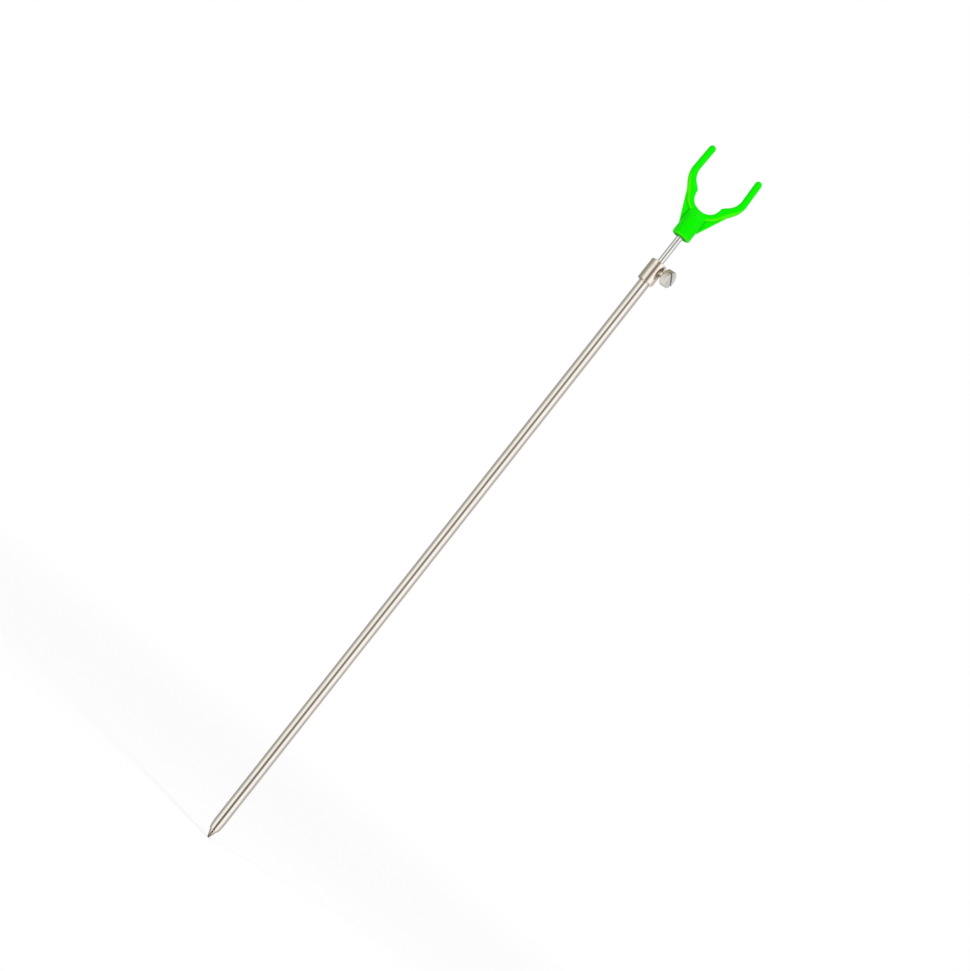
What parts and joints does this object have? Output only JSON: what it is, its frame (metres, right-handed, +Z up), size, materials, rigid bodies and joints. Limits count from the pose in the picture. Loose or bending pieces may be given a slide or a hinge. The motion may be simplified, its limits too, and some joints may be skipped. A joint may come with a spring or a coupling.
{
  "type": "bank stick",
  "caption": "Telescopic steel bank stick: pointed tube, clamp collar with knurled thumb screw, and a sliding, turning rod with a green U-shaped rod rest.",
  "frame": {"origin": "the point of the ground spike, on the stick's axis", "axes": "+Z up the stick's axis, X across the fork of the rod rest, Y through the cradle"},
  "size_m": [0.0578, 0.0244, 0.7232],
  "materials": {
    "polished_steel": "polished, warm silver, fine lines along the tube",
    "spike_steel": "turned, with fine rings",
    "chrome_plate": "bright plate, neutral silver",
    "nickel_plate": "plated, knurled drum and turned face",
    "white_nylon": "moulded nylon, slightly waxy",
    "spring_steel": "stamped, oiled",
    "brass": "turned",
    "green_plastic": "moulded bright green, semi-gloss with a faint texture"
  },
  "bodies": {
    "lower_stick": {"outer_tube": "polished_steel", "ground_spike": "spike_steel", "clamp_collar": "polished_steel"},
    "clamp_slug": {"clamp_pad": "white_nylon"},
    "thumb_screw": {"clamp_screw": "nickel_plate"},
    "slider": {"guide_bush": "white_nylon"},
    "rod_and_rest": {"inner_rod": "chrome_plate", "bush_retainer": "spring_steel", "thread_insert": "brass", "rod_rest": "green_plastic"}
  },
  "joints": [
    {"name": "rod_extension", "type": "slide", "parent": "lower_stick", "child": "slider", "axis": [0, 0, 1], "range_m": [-0.0278, 0.5109]},
    {"name": "rod_swivel", "type": "hinge", "parent": "slider", "child": "rod_and_rest", "pos_m": [0, 0, 0.6], "axis": [0, 0, 1], "continuous": true},
    {"name": "pad_travel", "type": "slide", "parent": "lower_stick", "child": "clamp_slug", "axis": [0.8746, -0.4848, 0], "range_m": [0, 0.0012]},
    {"name": "clamp_screw_turn", "type": "hinge", "parent": "clamp_slug", "child": "thumb_screw", "pos_m": [0, 0, 0.608], "axis": [0.8746, -0.4848, 0], "range_deg": [0, 540]}
  ],
  "couplings": [
    {"joint": "pad_travel", "follows": "clamp_screw_turn", "m_per_rad": 0.00012732}
  ]
}
